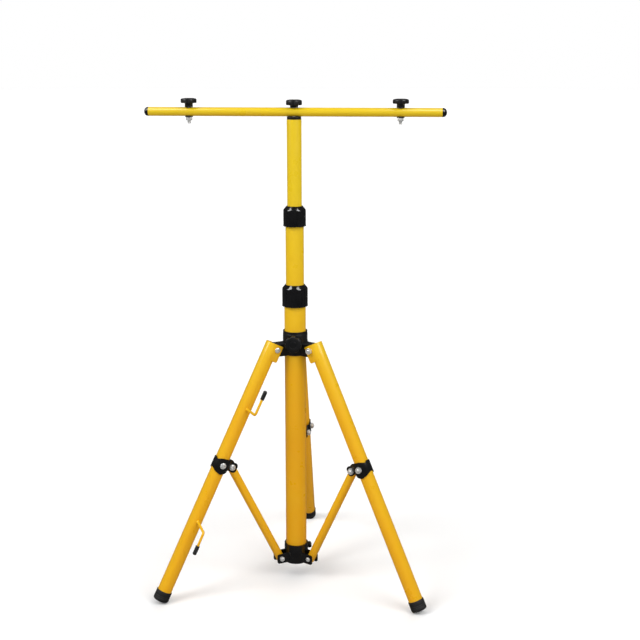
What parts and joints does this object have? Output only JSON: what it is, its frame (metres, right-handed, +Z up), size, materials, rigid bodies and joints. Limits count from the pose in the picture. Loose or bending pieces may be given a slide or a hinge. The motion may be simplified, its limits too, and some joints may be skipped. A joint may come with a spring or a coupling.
{
  "type": "tripod lamp stand",
  "caption": "Folding tripod stand with a telescopic mast, twist locks and a crossbar with studs for two work lights.",
  "frame": {"origin": "on the floor, on the mast's axis", "axes": "+Z up along the mast, X along the crossbar, the hub's star knob faces -Y; the back leg points at +Y"},
  "size_m": [0.519, 0.4314, 0.8784],
  "materials": {
    "yellow_paint": "glossy yellow powder coat on steel",
    "gloss_black_nylon": "gloss black moulded nylon",
    "black_nylon": "satin black moulded nylon",
    "black_painted_steel": "semi-gloss black coating on pressed steel",
    "black_rubber": "dull black rubber",
    "zinc": "bright zinc plating",
    "brass": "plain brass",
    "white_acetal": "white moulded acetal"
  },
  "bodies": {
    "mast_base": {"outer_tube": "yellow_paint", "mast_plug": "black_nylon", "lower_hub": "black_painted_steel", "lower_hub_bolts": "zinc", "lower_hub_nuts": "zinc", "lower_ferrule": "black_nylon", "lower_collet": "white_acetal"},
    "thumb_screw": {"thumb_screw_head": "black_nylon", "thumb_screw_shank": "zinc"},
    "lower_nut": {"lower_twist_nut": "gloss_black_nylon"},
    "middle_mast": {"middle_tube": "yellow_paint", "middle_bush": "white_acetal", "upper_ferrule": "black_nylon", "upper_collet": "white_acetal"},
    "upper_nut": {"upper_twist_nut": "gloss_black_nylon"},
    "top_mast": {"top_tube": "yellow_paint", "top_bush": "white_acetal", "top_plug": "black_nylon", "top_insert": "brass"},
    "crossbar": {"crossbar_tube": "yellow_paint", "crossbar_cap_left": "gloss_black_nylon", "crossbar_cap_right": "gloss_black_nylon", "lamp_washers": "black_nylon", "lamp_nuts": "zinc"},
    "centre_knob": {"centre_knob": "black_nylon", "centre_screw": "zinc"},
    "lamp_knob_left": {"lamp_knob_left": "black_nylon", "lamp_stud_left": "zinc"},
    "lamp_knob_right": {"lamp_knob_right": "black_nylon", "lamp_stud_right": "zinc"},
    "upper_hub": {"upper_hub": "black_nylon", "hub_insert": "brass", "hub_pressure_pad": "white_acetal", "hub_bolts": "zinc", "hub_nuts": "zinc"},
    "hub_knob": {"hub_knob": "black_nylon", "hub_knob_screw": "zinc"},
    "leg_left": {"leg_left_tube": "yellow_paint", "leg_left_collar": "black_painted_steel", "leg_left_foot": "black_rubber", "leg_left_bolts": "zinc", "leg_left_nuts": "zinc", "upper_cable_hook": "yellow_paint", "upper_hook_tip": "black_rubber", "lower_cable_hook": "yellow_paint", "lower_hook_tip": "black_rubber"},
    "leg_right": {"leg_right_tube": "yellow_paint", "leg_right_collar": "black_painted_steel", "leg_right_foot": "black_rubber", "leg_right_bolts": "zinc", "leg_right_nuts": "zinc"},
    "leg_back": {"leg_back_tube": "yellow_paint", "leg_back_collar": "black_painted_steel", "leg_back_foot": "black_rubber", "leg_back_bolts": "zinc", "leg_back_nuts": "zinc"},
    "strut_left": {"strut_left": "yellow_paint"},
    "strut_right": {"strut_right": "yellow_paint"},
    "strut_back": {"strut_back": "yellow_paint"}
  },
  "joints": [
    {"name": "legs_fold", "type": "hinge", "parent": "mast_base", "child": "strut_left", "pos_m": [-0.02944, -0.017, 0.0415], "axis": [-0.5, 0.866, 0], "range_deg": [0, 26.1]},
    {"name": "leg_left_on_strut", "type": "hinge", "parent": "strut_left", "child": "leg_left", "pos_m": [-0.11081, -0.06398, 0.23588], "axis": [0.5, -0.866, 0], "range_deg": [0, 51]},
    {"name": "hub_on_leg_left", "type": "hinge", "parent": "leg_left", "child": "upper_hub", "pos_m": [-0.03464, -0.02, 0.4423], "axis": [-0.5, 0.866, 0], "range_deg": [0, 24.9]},
    {"name": "leg_right_pivot", "type": "hinge", "parent": "upper_hub", "child": "leg_right", "pos_m": [0.03464, -0.02, 0.4423], "axis": [0.5, 0.866, 0], "range_deg": [0, 24.9]},
    {"name": "strut_right_pivot", "type": "hinge", "parent": "leg_right", "child": "strut_right", "pos_m": [0.11081, -0.06398, 0.23588], "axis": [-0.5, -0.866, 0], "range_deg": [0, 51]},
    {"name": "leg_back_pivot", "type": "hinge", "parent": "upper_hub", "child": "leg_back", "pos_m": [0, 0.04, 0.4423], "axis": [-1, 0, 0], "range_deg": [0, 24.9]},
    {"name": "strut_back_pivot", "type": "hinge", "parent": "leg_back", "child": "strut_back", "pos_m": [0, 0.12795, 0.23588], "axis": [1, 0, 0], "range_deg": [0, 51]},
    {"name": "middle_tube_slide", "type": "slide", "parent": "mast_base", "child": "middle_mast", "axis": [0, 0, 1], "range_m": [-0.103, 0.27]},
    {"name": "top_tube_slide", "type": "slide", "parent": "middle_mast", "child": "top_mast", "axis": [0, 0, 1], "range_m": [-0.149, 0.245]},
    {"name": "lower_twist_lock", "type": "hinge", "parent": "mast_base", "child": "lower_nut", "pos_m": [0, 0, 0.536], "axis": [0, 0, 1], "range_deg": [0, 270]},
    {"name": "upper_twist_lock", "type": "hinge", "parent": "middle_mast", "child": "upper_nut", "pos_m": [0, 0, 0.6785], "axis": [0, 0, 1], "range_deg": [0, 270]},
    {"name": "crossbar_swivel", "type": "hinge", "parent": "top_mast", "child": "crossbar", "pos_m": [0, 0, 0.8555], "axis": [0, 0, 1], "continuous": true},
    {"name": "centre_knob_turn", "type": "hinge", "parent": "top_mast", "child": "centre_knob", "pos_m": [0, 0, 0.87], "axis": [0, 0, 1], "range_deg": [0, 720]},
    {"name": "lamp_knob_left_turn", "type": "hinge", "parent": "crossbar", "child": "lamp_knob_left", "pos_m": [-0.1815, 0, 0.87], "axis": [0, 0, 1], "range_deg": [0, 720]},
    {"name": "lamp_knob_right_turn", "type": "hinge", "parent": "crossbar", "child": "lamp_knob_right", "pos_m": [0.1815, 0, 0.87], "axis": [0, 0, 1], "range_deg": [0, 720]},
    {"name": "hub_knob_turn", "type": "hinge", "parent": "upper_hub", "child": "hub_knob", "pos_m": [0, -0.035, 0.4543], "axis": [0, -1, 0], "range_deg": [0, 720]},
    {"name": "thumb_screw_turn", "type": "hinge", "parent": "mast_base", "child": "thumb_screw", "pos_m": [0.02338, 0.0135, 0.054], "axis": [0.866, 0.5, 0], "range_deg": [0, 720]}
  ],
  "couplings": [
    {"joint": "leg_left_on_strut", "follows": "legs_fold", "ratio": 1.9541},
    {"joint": "hub_on_leg_left", "follows": "legs_fold", "ratio": 0.95412},
    {"joint": "leg_right_pivot", "follows": "legs_fold", "ratio": 0.95412},
    {"joint": "strut_right_pivot", "follows": "legs_fold", "ratio": 1.9541},
    {"joint": "leg_back_pivot", "follows": "legs_fold", "ratio": 0.95412},
    {"joint": "strut_back_pivot", "follows": "legs_fold", "ratio": 1.9541}
  ]
}
